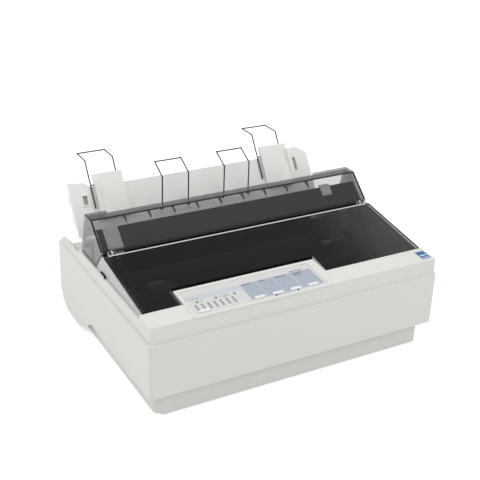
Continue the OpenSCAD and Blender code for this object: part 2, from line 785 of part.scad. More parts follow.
module panel_board() {
    color(board_colour) placed() block(panel_x0 + 3, panel_x1 - 10, -hd + 7, panel_rear_y - 6,
        board_h, board_h + board_t);
    color(black_colour) placed() {
        for (x = concat([pause_x], [for (i = [1 : 4]) button_x(i)]))
            block(x - 3, x + 3, button_y - 3, button_y + 3, board_h + board_t, board_h + board_t + 3);
    }
}

module panel_label() {
    color([0.66, 0.71, 0.78]) placed() difference() {
        on_panel((label_x0 + label_x1) / 2, (label_y0 + label_y1) / 2) translate([0, 0, -recess_d])
            linear_extrude(label_t)
                square([label_x1 - label_x0 - 0.4, label_y1 - label_y0 - 0.4], center = true);
        for (x = concat([pause_x], [for (i = [1 : 4]) button_x(i)]))
            on_panel(x, button_y) translate([0, 0, -4]) capsule(button_l + 2 * slip, button_w + 2 * slip, 8);
        for (x = lamp_xs) on_panel(x, lamp_y) translate([0, 0, -4]) cylinder(h = 8, r = 1.55, $fn = 24);
    }
}

module lamp_lenses() {
    color([0.35, 0.75, 0.35]) placed() for (x = lamp_xs)
        on_panel(x, lamp_y) translate([0, 0, -4.4]) cylinder(h = 4.2, r = 1.5, $fn = 24);
}

module panel_button(x) {
    color([0.93, 0.93, 0.91]) placed() {
        on_panel(x, button_y) translate([0, 0, -6]) capsule(button_l, button_w, 6.2);
        top = board_h + board_t + 3 + button_travel + 0.2;
        translate([x, button_y, top]) cylinder(h = strip_at(button_y) - 4 - top, r = 1.6, $fn = 24);
    }
}
module pause_button() panel_button(pause_x);
module button_1() panel_button(button_x(1));
module button_2() panel_button(button_x(2));
module button_3() panel_button(button_x(3));
module button_4() panel_button(button_x(4));

module power_switch() {
    color([0.15, 0.15, 0.16]) placed() translate([hx - 4, -94, 44 + switch_h / 2]) {
        rotate([90, 0, 0]) translate([0, 0, -11]) linear_extrude(22) polygon([[-3, -switch_h / 2 + 1],
            [2, -switch_h / 2 + 1], [0.6, 0], [3.6, switch_h / 2 - 1.4], [-2, switch_h / 2 - 1.4]]);
        rotate([90, 0, 0]) cylinder(h = 23.2, r = 1.5, center = true, $fn = 24);
    }
}

// ---------------------------------------------------------------- covers

module front_cover() {
    rim = 3;
    rim_end_y = cover_seam_y - 5;
    color(smoke_colour) placed() difference() {
        union() {
            across(-cover_x, cover_x) polygon([[cover_front_y, strip_h], [plate_end_y, cover_at(plate_end_y)],
                [plate_end_y, cover_at(plate_end_y) - cover_t], [cover_front_y, strip_h - cover_t]]);
            block(-cover_x, cover_x, cover_front_y, cover_front_y + cover_t, strip_h - 4.5, strip_h - 1);
            both_sides() {
                across(cover_x - cover_t, cover_x) polygon([[cover_front_y, strip_h],
                    [rim_end_y, cover_at(rim_end_y)], [hinge_y + 0.9, hinge_h - 0.9],
                    [seam_foot_y - slip, cover_bottom + slip], [cover_front_y, cover_bottom + slip]]);
                across(cover_x - rim, cover_x) polygon([[cover_front_y, strip_h - 1],
                    [rim_end_y, cover_at(rim_end_y) - 1], [rim_end_y, cover_at(rim_end_y) + 0.2],
                    [cover_front_y, strip_h + 1.2]]);
                // tab to lift the cover by, over the rim of the housing
                block(cover_x - 1, cover_x + 2.8, -10, 3, rim_h + slip, rim_h + 3);
                front_ear();
            }
            bar(-cover_x + 4, cover_x - 4, plate_end_y + 0.4, cover_at(plate_end_y) - 0.9, 1.6, 24);
            // walls round the control panel notch
            across(notch_x0 - cover_t, notch_x1 + cover_t) polygon([[notch_y, strip_at(notch_y) - 3],
                [notch_y + cover_t, strip_at(notch_y) - 3], [notch_y + cover_t, cover_at(notch_y) - 1],
                [notch_y, cover_at(notch_y) - 1]]);
            for (x = [notch_x0 - cover_t, notch_x1]) across(x, x + cover_t) polygon([
                [cover_front_y, strip_h - 4.5], [notch_y, strip_at(notch_y) - 3],
                [notch_y, cover_at(notch_y) - 1], [cover_front_y, strip_h - 1]]);
        }
        block(notch_x0, notch_x1, cover_front_y - 1, notch_y, strip_h - 20, 140);
        both_sides() bar(pin_x0 - 0.6, frame_x + 0.5, hinge_y, hinge_h, ear_r + 0.8);
        both_sides() bar(frame_x, cover_x - cover_t - 0.5, hinge_y, hinge_h, hinge_pin_r + running_gap);
    }
}

// Hinge ear of the front cover, outside each side frame
module front_ear() {
    across(frame_x + 0.5, frame_x + 0.5 + ear_w) {
        translate([hinge_y, hinge_h]) circle(r = ear_r);
        polygon([[hinge_y, hinge_h + ear_r * 0.4], [plate_end_y - 6, cover_at(plate_end_y - 6) - 0.5],
            [plate_end_y - 12, cover_at(plate_end_y - 12) - 1], [hinge_y - 3, hinge_h - ear_r + 1]]);
    }
}

module rear_cover() {
    y0 = cover_seam_y + 0.8;
    tabs = [[-cover_x, -cover_x + 25], [cover_x - 51, cover_x]];
    color(smoke_colour) placed() difference() {
        union() {
            across(-cover_x, cover_x) polygon([[y0, face_at(y0)], [crown_front_y, crown_h],
                [crown_rear_y - 6, crown_h], [crown_rear_y - 6, crown_h - cover_t],
                [crown_front_y + 0.8, crown_h - cover_t], [y0 + cover_t, face_at(y0 + cover_t) - 2.7],
                [y0, face_at(y0) - 1.2]]);
            both_sides() {
                across(cover_x - cover_t, cover_x) polygon([[y0, face_at(y0)], [crown_front_y, crown_h],
                    [crown_rear_y, crown_h], [cover_rear_y, cover_bottom + slip],
                    [seam_foot_y + slip, cover_bottom + slip]]);
                rear_ear();
            }
            for (t = tabs) across(t[0], t[1]) polygon([[crown_rear_y - 7, crown_h], [crown_rear_y, crown_h],
                [crown_rear_y, crown_h - 8], [crown_rear_y - cover_t, crown_h - 8],
                [crown_rear_y - cover_t, crown_h - cover_t], [crown_rear_y - 7, crown_h - cover_t]]);
            for (i = [0 : rib_count - 1]) across(rib_x(i) - 0.6, rib_x(i) + 0.6) polygon([
                [24, face_at(24) - 2], [crown_front_y, crown_h - 1], [42, crown_h - 1], [42, crown_h - 3],
                [35.5, crown_h - 5], [31.5, crown_h - 5.8], [25, face_at(25) - 4.6]]);
        }
        both_sides() {
            bar(frame_in - 0.6, cover_x - cover_t - 1, hinge_y, hinge_h, ear_r + 0.8);
            bar(pin_x0 - 1.4, frame_in, hinge_y, hinge_h, hinge_pin_r + running_gap);
        }
    }
}
function rib_x(i) = platen_x0 + 9 + i * (platen_l - 19) / (rib_count - 1);

// Hinge ear of the rear cover, inside each side frame
module rear_ear() {
    across(pin_x0 + 0.4, pin_x0 + 0.4 + ear_w) {
        translate([hinge_y, hinge_h]) circle(r = ear_r);
        polygon([[hinge_y - 1, hinge_h + ear_r - 1.4], [10, face_at(10) - 1], [10, face_at(10) - 4.4],
            [hinge_y + 3, hinge_h - ear_r + 1.6]]);
    }
}

// ---------------------------------------------------------------- paper guide

module paper_guide() {
    color([0.93, 0.93, 0.91]) placed() on_guide() difference() {
        union() {
            translate([plate_x0, 6, -guide_t]) cube([plate_x1 - plate_x0, guide_l - 6, guide_t]);
            // left and right arms
            translate([0, 0, -guide_t]) linear_extrude(guide_t) {
                translate([left_arm_x, 0])
                    polygon([[0, 8], [0, arm_l], [20.4, arm_l - 2], [26.5, guide_l], [26.5, 8]]);
                translate([right_arm_x, 0])
                    polygon([[0, 8], [0, arm_l - 1], [10, arm_l], [24, arm_l - 10], [24, 8]]);
            }
            // edge flanges behind the arms, with two deeper steps each
            for (x = [left_arm_x, right_arm_x + 22]) {
                translate([x, 8, -6]) cube([2, arm_l - 19, 6]);
                for (y = [22, 48]) translate([x, y, -10]) cube([2, 14, 10]);
            }
            for (x = [-60, 20]) translate([x, 10, -6]) cube([2, guide_l - 14, 6]);
            translate([plate_x0, guide_l - 3, -5]) cube([plate_x1 - plate_x0, 2, 5]);
            for (x = [left_lug_x, right_lug_x]) {
                bar(x, x + lug_w, 0, 0, lug_r - 0.4);
                translate([x, 2, -guide_t - 1]) cube([lug_w, 8, guide_t + 1]);
            }
            // raised frame of the hole in the left arm
            translate([left_arm_x + 12.7, 43, 0]) cube([9, 14, 1.2]);
            for (x = inner_wire_xs) translate([x - 3, inner_l - 4, 0]) cube([wire_spread + 6, 8, 2.4]);
        }
        bar(left_lug_x - 1, left_lug_x + lug_w + 1, 0, 0, guide_pin_r + running_gap);
        bar(right_lug_x - 1, right_lug_x + lug_w + 1, 0, 0, guide_pin_r + running_gap);
        translate([left_arm_x + 14.2, 44.5, -12]) cube([6, 11, 20]);
        translate([right_arm_x + 0.8, 42, -12]) cube([4.4, 17, 20]);
        for (x = inner_wire_xs) translate([x - 1.4, inner_l - 5, inner_z - 1.3])
            cube([wire_spread + 2.8, 10, 20]);
        for (x = inner_wire_xs) bar(x - 4, x + wire_spread + 4, inner_l, inner_z, wire_r + running_gap, 24);
    }
}
// Pivot of the inner wires on the guide's face
inner_l = (inner_pivot_y - guide_y) / cos(guide_angle);
inner_z = 1.8;

// Sliding side guide: a face plate, rims that run on the guide plate, a fence and a hook over the top edge
module edge_guide(x0, x1, fence_x) {
    s = fence_x < (x0 + x1) / 2 ? 1 : -1;
    color([0.90, 0.90, 0.88]) placed() on_guide() difference() {
        union() {
            translate([x0, edge_bottom, edge_back]) cube([x1 - x0, edge_top - edge_bottom, edge_t]);
            for (x = [x0, x1 - 2]) translate([x, edge_bottom, slip])
                cube([2, edge_top - edge_bottom, edge_back]);
            translate([fence_x, edge_bottom, edge_back]) cube([2, edge_top - edge_bottom - 8, 6]);
            // folded gusset from the fence down to the lower edge
            translate([0, 0, edge_back + edge_t]) polyhedron(
                [[fence_x + 1, edge_bottom, -0.5], [fence_x + 1 + s * 24, edge_bottom, -0.5],
                    [fence_x + 1, edge_bottom + 24, -0.5], [fence_x + 1, edge_bottom, 4]],
                s > 0 ? [[0, 1, 2], [0, 3, 1], [1, 3, 2], [2, 3, 0]]
                    : [[0, 2, 1], [0, 1, 3], [1, 2, 3], [2, 0, 3]]);
            // hook over the top edge of the guide plate
            translate([(x0 + x1) / 2 - 5, guide_l + slip, -guide_t - 2 - slip])
                cube([10, 2, guide_t + 3 + slip + edge_back]);
            translate([(x0 + x1) / 2 - 5, guide_l - 0.6, -guide_t - 2 - slip]) cube([10, 2, 2]);
        }
        for (x = [x0 - 1, x1 - 3]) bar(x, x + 4, pivot_l, wire_z, wire_r + running_gap, 24);
    }
}
module left_edge_guide() edge_guide(left_wire_x + 4, left_wire_x + 41, left_wire_x + 4);
module right_edge_guide() edge_guide(right_wire_x + 4, right_wire_x + 43, right_wire_x + 41);

// Outer wire: a pin in the edge guide, a tail, a leg, the far bar and the second leg
module outer_wire(x) {
    knee = [x, wire_l, wire_z];
    back = [0, wire_reach * cos(guide_angle), -wire_reach * sin(guide_angle)];
    span = [wire_spread, 0, 0];
    color([0.25, 0.25, 0.26]) placed() on_guide() {
        wire_path([[x, edge_bottom + 2, wire_z], [x, pivot_l, wire_z], knee, knee + back,
            knee + back + span, knee + span, [x + wire_spread, pivot_l, wire_z],
            [x + wire_spread + 6.5, pivot_l, wire_z]], wire_r);
        rod([x, pivot_l, wire_z], [x + 6, pivot_l, wire_z], wire_r);
    }
}
module left_outer_wire() outer_wire(left_wire_x);
module right_outer_wire() outer_wire(right_wire_x);

// Inner wire: stands upright on the guide's face, then leans back
module inner_wire(x) {
    py = guide_y + inner_l * cos(guide_angle) - inner_z * sin(guide_angle);
    pz = guide_h + inner_l * sin(guide_angle) + inner_z * cos(guide_angle);
    span = [wire_spread, 0, 0];
    knee = [x, py, inner_wire_h];
    back = [0, 22, 11.5];
    color([0.25, 0.25, 0.26]) placed() {
        wire_path([[x - 2.6, py, pz], [x, py, pz], knee, knee + back, knee + back + span, knee + span,
            [x + wire_spread, py, pz], [x + wire_spread + 2.6, py, pz]], wire_r);
    }
}
module left_inner_wire() inner_wire(inner_wire_xs[0]);
module right_inner_wire() inner_wire(inner_wire_xs[1]);

// ---------------------------------------------------------------- paper feed

module platen_roller() {
    color(black_colour) placed() difference() {
        bar(platen_x0, platen_x1, platen_y, platen_h, platen_r, 96);
        bar(platen_x0 - 1, platen_x1 + 1, platen_y, platen_h, platen_shaft_r + 0.02);
    }
}

module platen_shaft() {
    color(steel_colour) placed()
        bar(platen_gear_x - 0.2, hx - 4, platen_y, platen_h, platen_shaft_r);
}

module platen_knob() {
    x0 = frame_x + 3.6;
    color([0.80, 0.80, 0.77]) placed() difference() {
        union() {
            bar(x0, hx, platen_y, platen_h, knob_r - 1, 96);
            for (i = [0 : 23]) bar(x0 + 1, hx - 1, platen_y + (knob_r - 1) * cos(15 * i),
                platen_h + (knob_r - 1) * sin(15 * i), 1, 16);
        }
        bar(x0 - 1, hx - 3.8, platen_y, platen_h, platen_shaft_r + 0.02);
        bar(hx - 2, hx + 1, platen_y, platen_h, knob_r - 4, 96);
    }
}

module platen_gear() {
    color(gear_colour) placed()
        gear(platen_gear_x, gear_w, platen_y, platen_h, platen_teeth, reduction_a, platen_shaft_r + 0.02);
}

module reduction_gear() {
    color(gear_colour) placed() {
        gear(platen_gear_x, gear_w, reduction_y, reduction_h, small_teeth,
            reduction_a + 180 + 180 / small_teeth, stud_r + running_gap);
        across(platen_gear_x - 0.6, platen_gear_x) translate([reduction_y, reduction_h]) difference() {
            circle(r = 5);
            circle(r = stud_r + running_gap);
        }
        gear(big_gear_x, gear_w, reduction_y, reduction_h, large_teeth, motor_a, stud_r + running_gap);
    }
}

module motor_pinion() {
    color(steel_colour) placed() {
        gear(big_gear_x, gear_w, motor_y, motor_h, motor_teeth, motor_a + 180 + 180 / motor_teeth, 1);
        bar(big_gear_x + 0.2, -frame_in + 9, motor_y, motor_h, 1.5, 24);
    }
}

module pressure_rollers() {
    color(black_colour) placed() {
        bar(-frame_x - 0.5, frame_x + 0.5, pressure_y, pressure_h, feed_shaft_r);
        for (i = [0 : 5]) bar(roller_x(i), roller_x(i) + 18, pressure_y, pressure_h, pressure_r);
    }
}

module exit_rollers() {
    color([0.55, 0.55, 0.56]) placed() {
        bar(-frame_x - 0.5, frame_x + 0.5, exit_y, exit_h, feed_shaft_r);
        for (i = [0 : 5]) bar(roller_x(i) + 5, roller_x(i) + 13, exit_y, exit_h, exit_r);
    }
}

// ---------------------------------------------------------------- carriage

module carriage() {
    x0 = carriage_x - carriage_w / 2;
    x1 = x0 + carriage_w;
    color([0.22, 0.22, 0.23]) placed() difference() {
        union() {
            block(x0, x1, rail_y - 12, rail_y + 20, rail_h - 8, rail_h + 12);
            block(x0 + 6, x1 - 6, base_y0 + 5, rail_y - 11, rail_h + 6, rail_h + 12);
            block(x0 + 6, x1 - 6, base_y0 + 5, base_y0 + 14, rail_h + 11, 78.4 - slip);
            block(carriage_x - 6, carriage_x + 6, belt_y + belt_r - 2.4, belt_y + belt_r + 3.6,
                belt_h - 2, rail_h - 7);
        }
        bar(x0 - 1, x1 + 1, rail_y, rail_h, rail_r + running_gap);
        block(carriage_x - 7, carriage_x + 7, belt_y + belt_r - slip, belt_y + belt_r + belt_t + slip,
            belt_h - 3, belt_h + belt_w + slip);
    }
}

module print_head() {
    fin_count = 5;
    top = rail_h + 12;
    color([0.42, 0.43, 0.45]) placed() {
        block(carriage_x - 9, carriage_x + 9, rail_y - 2, head_y - 4, top, top + 22);
        for (i = [0 : fin_count - 1])
            block(carriage_x - 15, carriage_x + 15, rail_y + 4 * i, rail_y + 4 * i + 1.6, top, top + 26);
        block(carriage_x - 5, carriage_x + 5, head_y - 5, head_y, platen_h - 5, platen_h + 5);
    }
}

module pulley(x, low) {
    color(gear_colour) placed() translate([x, belt_y, 0]) difference() {
        union() {
            translate([0, 0, belt_h - 1.4]) cylinder(h = belt_w + 2.8, r = pulley_r);
            translate([0, 0, belt_h - 2.2]) cylinder(h = 1.2, r = pulley_r + 1.8);
            translate([0, 0, belt_h + belt_w + 0.8]) cylinder(h = 1.2, r = pulley_r + 1.8);
        }
        if (low) translate([0, 0, 20]) cylinder(h = 60, r = 2 + running_gap);
    }
}

module motor_pulley() {
    pulley(pulley_x0, false);
    color(steel_colour) placed() translate([pulley_x0, belt_y, base_h - 9]) cylinder(h = 24, r = 2);
}
module idler_pulley() pulley(pulley_x1, true);

module ribbon_knob() {
    color([0.2, 0.35, 0.6]) placed() translate([ribbon_x1 - 26, base_y0 + 14, 0]) {
        translate([0, 0, 85.4]) cylinder(h = 12, r = 4);
        translate([0, 0, 97.4]) cylinder(h = 4, r = 9);
        for (i = [0 : 11]) translate([9 * cos(30 * i), 9 * sin(30 * i), 97.4])
            cylinder(h = 4, r = 0.9, $fn = 16);
    }
}

// ---------------------------------------------------------------- levers

module release_lever() {
    color([0.30, 0.42, 0.62]) placed() {
        bar(frame_in - 4, frame_x + 0.4, lever_y, lever_h, lever_pin_r);
        across(frame_in - 3.8, frame_in - 0.5) {
            translate([lever_y, lever_h]) circle(r = 6);
            polygon([[lever_y - 5, lever_h], [lever_y - 1, lever_h + 40], [lever_y + 6, lever_h + 40],
                [lever_y + 5, lever_h]]);
        }
        bar(frame_in - 14, frame_in - 0.5, lever_y + 2.5, lever_h + 38, 3.5);
    }
}

module gap_lever() {
    x0 = -frame_in + 0.5;
    color([0.30, 0.42, 0.62]) placed() difference() {
        union() {
            across(x0, x0 + 3) {
                translate([rail_y, rail_h]) circle(r = 10);
                polygon([[rail_y - 6, rail_h + 4], [rail_y - 2, rail_h + 40], [rail_y + 4, rail_h + 40],
                    [rail_y + 6, rail_h + 4]]);
            }
            bar(x0, x0 + 6, rail_y + 1, rail_h + 40, 3.5);
        }
        bar(x0 - 1, x0 + 12, rail_y, rail_h, rail_r + running_gap);
    }
}

lower_case();
upper_housing();
rubber_feet();
case_screws();
side_frames();
base_plate();
front_rail();
guide_shaft();
platen_bushes();
paper_pan();
exit_panel();
exit_brackets();
guide_brackets();
hinge_pins();
main_board();
power_board();
transformer();
power_inlet();
rear_sockets();
carriage_motor();
paper_motor();
drive_belt();
ribbon_cartridge();
ribbon();
head_cable();
panel_board();
panel_label();
lamp_lenses();
front_cover();
rear_cover();
paper_guide();
left_edge_guide();
right_edge_guide();
left_outer_wire();
right_outer_wire();
left_inner_wire();
right_inner_wire();
platen_roller();
platen_shaft();
platen_knob();
platen_gear();
reduction_gear();
motor_pinion();
pressure_rollers();
exit_rollers();
carriage();
print_head();
motor_pulley();
idler_pulley();
ribbon_knob();
release_lever();
gap_lever();
power_switch();
pause_button();
button_1();
button_2();
button_3();
button_4();
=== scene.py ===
"""Looks of the dot matrix printer: materials, rounded copies of the moulded parts, trim, light and camera."""
import json
import math
from math import radians

import bmesh
import bpy
from mathutils import Matrix, Vector


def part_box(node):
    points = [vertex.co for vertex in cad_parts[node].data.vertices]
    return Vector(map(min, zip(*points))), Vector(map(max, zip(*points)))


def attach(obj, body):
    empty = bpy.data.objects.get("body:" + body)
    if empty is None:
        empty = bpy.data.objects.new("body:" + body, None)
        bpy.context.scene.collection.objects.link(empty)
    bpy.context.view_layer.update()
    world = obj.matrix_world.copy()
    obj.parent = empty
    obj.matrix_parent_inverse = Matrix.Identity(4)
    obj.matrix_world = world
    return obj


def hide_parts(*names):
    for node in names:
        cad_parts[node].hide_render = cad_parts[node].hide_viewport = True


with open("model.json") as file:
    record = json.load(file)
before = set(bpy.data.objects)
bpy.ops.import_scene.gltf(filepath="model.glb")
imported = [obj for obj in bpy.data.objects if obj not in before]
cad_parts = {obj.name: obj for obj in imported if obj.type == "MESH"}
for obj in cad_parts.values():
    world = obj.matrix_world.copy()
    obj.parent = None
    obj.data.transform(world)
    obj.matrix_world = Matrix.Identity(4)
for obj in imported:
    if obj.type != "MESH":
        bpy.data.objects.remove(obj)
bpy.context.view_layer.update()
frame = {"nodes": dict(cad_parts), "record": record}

MM = 0.001
housing_low, housing_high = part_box("upper_housing")
CASE_Y = (housing_low.y + housing_high.y) / 2
BODIES = frame["record"]["behaviour"]["bodies"]
BODY_OF = {node: body for body, nodes in BODIES.items() for node in nodes}


# ---------------------------------------------------------------- camera

AZIMUTH, ELEVATION, ROLL = radians(-29.8), radians(25.86), radians(2.08)
AIM_HEIGHT = 70 * MM
AIM_OFFSET = Vector((3.07, 38.85, 1132.4)) * MM
FOCAL_PX, FRAME_PX, SENSOR_MM = 939.96, 480, 36


def make_camera():
    """Camera solved from the photograph; AIM_OFFSET is the aim point along right, down and forward."""
    back = Vector((math.sin(AZIMUTH) * math.cos(ELEVATION), -math.cos(AZIMUTH) * math.cos(ELEVATION),
                   math.sin(ELEVATION)))
    right = Vector((math.cos(AZIMUTH), math.sin(AZIMUTH), 0))
    up = back.cross(right)
    roll = Matrix.Rotation(ROLL, 3, "Z")
    to_camera = roll @ Matrix((right, -up, -back))
    data = bpy.data.cameras.new("photo_camera")
    data.sensor_width = SENSOR_MM
    data.lens = FOCAL_PX / FRAME_PX * SENSOR_MM
    data.clip_start, data.clip_end = 0.05, 20
    camera = bpy.data.objects.new("photo_camera", data)
    bpy.context.scene.collection.objects.link(camera)
    place = Vector((0, CASE_Y, AIM_HEIGHT)) - to_camera.transposed() @ AIM_OFFSET
    axes = Matrix((to_camera[0], -to_camera[1], -to_camera[2])).transposed()
    camera.matrix_world = Matrix.Translation(place) @ axes.to_4x4()
    bpy.context.scene.camera = camera


make_camera()


# ---------------------------------------------------------------- shader helper

class Shader:
    """Builds one material's node tree; a socket is a keyword with _ for a space, or its number as text."""

    def __init__(self, name):
        self.material = bpy.data.materials.new(name)
        self.material.use_nodes = True
        self.tree = self.material.node_tree
        self.tree.nodes.clear()
        self.coords = self.tree.nodes.new("ShaderNodeTexCoord").outputs["Object"]

    def node(self, kind, settings=None, **inputs):
        made = self.tree.nodes.new("ShaderNode" + kind)
        for key, value in (settings or {}).items():
            setattr(made, key, value)
        for key, value in inputs.items():
            self.feed(made, key.replace("_", " "), value)
        return made

    def feed(self, made, socket, value):
        target = made.inputs[int(socket)] if socket.isdigit() else made.inputs[socket]
        if isinstance(value, bpy.types.NodeSocket):
            self.tree.links.new(value, target)
        else:
            target.default_value = value

    def stretched(self, x, y, z):
        return self.node("Mapping", Vector=self.coords, Scale=(x, y, z)).outputs["Vector"]

    def noise(self, scale, detail=2.0, vector=None):
        made = self.node("TexNoise", Vector=vector or self.coords, Scale=scale, Detail=detail)
        return made.outputs["Fac"]

    def between(self, factor, low, high):
        made = self.node("MapRange", Value=factor)
        made.inputs["To Min"].default_value = low
        made.inputs["To Max"].default_value = high
        return made.outputs["Result"]

    def blend(self, factor, first, second):
        return self.node("MixRGB", Fac=factor, Color1=first, Color2=second).outputs["Color"]

    def bump(self, height, strength, distance=0.0003):
        return self.node("Bump", Height=height, Strength=strength, Distance=distance).outputs["Normal"]

    def math(self, operation, first, second):
        return self.node("Math", {"operation": operation}, **{"0": first, "1": second}).outputs[0]

    def join(self, kind, first, second, **inputs):
        """Joins two shaders with a Mix Shader or an Add Shader, whose last two inputs they take."""
        made = self.node(kind, **inputs)
        for socket, shader in zip(list(made.inputs)[-2:], (first, second)):
            self.tree.links.new(shader.outputs[0], socket)
        return made

    def output(self, surface):
        self.node("OutputMaterial", Surface=surface)
        return self.material


def shade(colour, factor):
    return tuple(c * factor for c in colour[:3]) + (1.0,)


def grey(level):
    return (level, level, level, 1)


# ---------------------------------------------------------------- materials

# Where along x, in metres, the scuffs of smoked plastic begin and are full.
SCUFFS_FROM_X, SCUFFS_FULL_X = 0.06, 0.17


def moulded(name, colour, rough=0.48, grain=0.16, corner_shade=0.10, gloss=0.4):
    """Moulded plastic: spark-eroded grain, faint mottling, and painted shade that darkens the colour in
    corners and recesses by ambient occlusion.
    """
    s = Shader(name)
    base = s.blend(s.between(s.noise(14, 3), 0, 1), shade(colour, 0.985), shade(colour, 1.0))
    # Painted shade: the colour darkens towards 0.55 of itself where ambient occlusion finds close surfaces.
    corners = s.node("AmbientOcclusion", {"samples": 4}, Distance=0.006).outputs["AO"]
    base = s.blend(s.between(corners, corner_shade, 0), base, shade(colour, 0.55))
    fine = s.noise(2600, 2)
    skin = s.node("BsdfPrincipled", Base_Color=base, Roughness=s.between(fine, rough - 0.06, rough + 0.08),
                  Specular_IOR_Level=gloss, Normal=s.bump(fine, grain, 0.00012))
    return s.output(skin.outputs["BSDF"])


def smoked(name, tint, body=0.04, polish=0.3, haze=0.38, scuffs=0.0):
    """Smoked clear plastic: each face holds back a share of the light.

    body is the share of milky haze in it, haze the paleness of that, and scuffs what is added to body
    towards the right end. A face is glossy on its outside alone, because Fresnel is total from within.
    """
    s = Shader(name)
    clear = s.node("BsdfTransparent", Color=grey(tint))
    cloud = s.between(s.noise(40, 3), 0, 1)
    milk = s.node("BsdfDiffuse", Color=s.blend(cloud, grey(haze * 0.92), grey(haze)))
    if scuffs:
        along = s.node("SeparateXYZ", Vector=s.coords).outputs["X"]
        far = s.node("MapRange", {"interpolation_type": "SMOOTHSTEP"}, Value=along)
        far.inputs["From Min"].default_value = SCUFFS_FROM_X
        far.inputs["From Max"].default_value = SCUFFS_FULL_X
        amount = s.math("MULTIPLY", far.outputs["Result"], s.between(s.noise(11, 3), 0.2, 1.3))
        body = s.between(amount, body, body + scuffs)
    inside = s.join("MixShader", clear, milk, Fac=body)
    shine = s.node("BsdfGlossy", Color=grey(polish), Roughness=s.between(s.noise(30, 2), 0.04, 0.09),
                   Normal=s.bump(s.noise(45, 2), 0.05, 0.0002))
    facing = s.node("Fresnel", IOR=1.45).outputs["Fac"]
    outside = s.math("SUBTRACT", 1.0, s.node("NewGeometry").outputs["Backfacing"])
    surface = s.join("MixShader", inside, shine, Fac=s.math("MULTIPLY", facing, outside))
    return s.output(surface.outputs["Shader"])


def metal(name, colour, rough=0.32, grain=(1, 1, 1), depth=0.1):
    """Bare or plated metal with the scratches of rolling or turning along one direction."""
    s = Shader(name)
    lines = s.noise(500, 4, s.stretched(*grain))
    base = s.blend(s.between(lines, 0, 0.35), colour + (1.0,), shade(colour, 0.72))
    skin = s.node("BsdfPrincipled", Base_Color=base, Metallic=0.9,
                  Roughness=s.between(lines, rough - 0.08, rough + 0.12), Normal=s.bump(lines, depth, 0.0001))
    return s.output(skin.outputs["BSDF"])


def rubber(name, colour, rough=0.75):
    """Matt rubber with a fine ground surface."""
    s = Shader(name)
    fine = s.noise(1800, 3)
    base = s.blend(s.between(s.noise(60, 3), 0, 0.6), colour + (1.0,), shade(colour, 1.7))
    skin = s.node("BsdfPrincipled", Base_Color=base, Roughness=s.between(fine, rough - 0.1, rough + 0.1),
                  Normal=s.bump(fine, 0.35, 0.0002))
    return s.output(skin.outputs["BSDF"])


def circuit_board(name):
    """Green solder mask with copper tracks in right-angled runs."""
    s = Shader(name)
    tracks = s.node("TexBrick", {"offset": 0.35}, Vector=s.coords, Scale=220.0, Color1=(0.02, 0.20, 0.09, 1),
                    Color2=(0.02, 0.17, 0.08, 1), Mortar=(0.06, 0.33, 0.14, 1))
    tracks.inputs["Mortar Size"].default_value = 0.03
    pads = s.node("TexVoronoi", Vector=s.coords, Scale=160.0).outputs["Distance"]
    base = s.blend(s.math("LESS_THAN", pads, 0.13), tracks.outputs["Color"], (0.62, 0.60, 0.52, 1))
    skin = s.node("BsdfPrincipled", Base_Color=base, Roughness=0.28,
                  Normal=s.bump(tracks.outputs["Fac"], 0.3, 0.0001))
    return s.output(skin.outputs["BSDF"])


def printed(name, colour, rough=0.35):
    """Printed film: a faint dither of ink under a satin coat."""
    s = Shader(name)
    ink = s.noise(1500, 1)
    base = s.blend(s.between(ink, 0, 0.5), colour + (1.0,), shade(colour, 0.93))
    skin = s.node("BsdfPrincipled", Base_Color=base, Roughness=s.between(s.noise(30), rough, rough + 0.15),
                  Normal=s.bump(ink, 0.05, 0.00005))
    return s.output(skin.outputs["BSDF"])


def windings(name):
    """Lacquered copper wire wound in even turns."""
    s = Shader(name)
    turns = s.node("TexWave", {"wave_type": "BANDS", "bands_direction": "Z"}, Vector=s.coords,
                   Scale=700.0, Distortion=0.6)
    base = s.blend(turns.outputs["Fac"], (0.16, 0.07, 0.03, 1), (0.60, 0.30, 0.13, 1))
    skin = s.node("BsdfPrincipled", Base_Color=base, Metallic=0.5, Roughness=0.4,
                  Normal=s.bump(turns.outputs["Fac"], 0.6, 0.0004))
    return s.output(skin.outputs["BSDF"])


def cloth_ribbon(name):
    """Woven ribbon soaked with black ink."""
    s = Shader(name)
    weave = s.node("TexChecker", Vector=s.coords, Scale=2200.0, Color1=(0.02, 0.02, 0.025, 1),
                   Color2=(0.05, 0.05, 0.06, 1))
    skin = s.node("BsdfPrincipled", Base_Color=weave.outputs["Color"], Roughness=0.8,
                  Normal=s.bump(weave.outputs["Fac"], 0.5, 0.0001))
    return s.output(skin.outputs["BSDF"])


def lens(name, colour):
    """Tinted lamp lens, slightly clear."""
    s = Shader(name)
    cloud = s.noise(900, 2)
    base = s.blend(s.between(cloud, 0, 0.4), colour + (1.0,), shade(colour, 0.6))
    skin = s.node("BsdfPrincipled", Base_Color=base, Roughness=0.15, Transmission_Weight=0.35, IOR=1.49,
                  Normal=s.bump(cloud, 0.05))
    return s.output(skin.outputs["BSDF"])


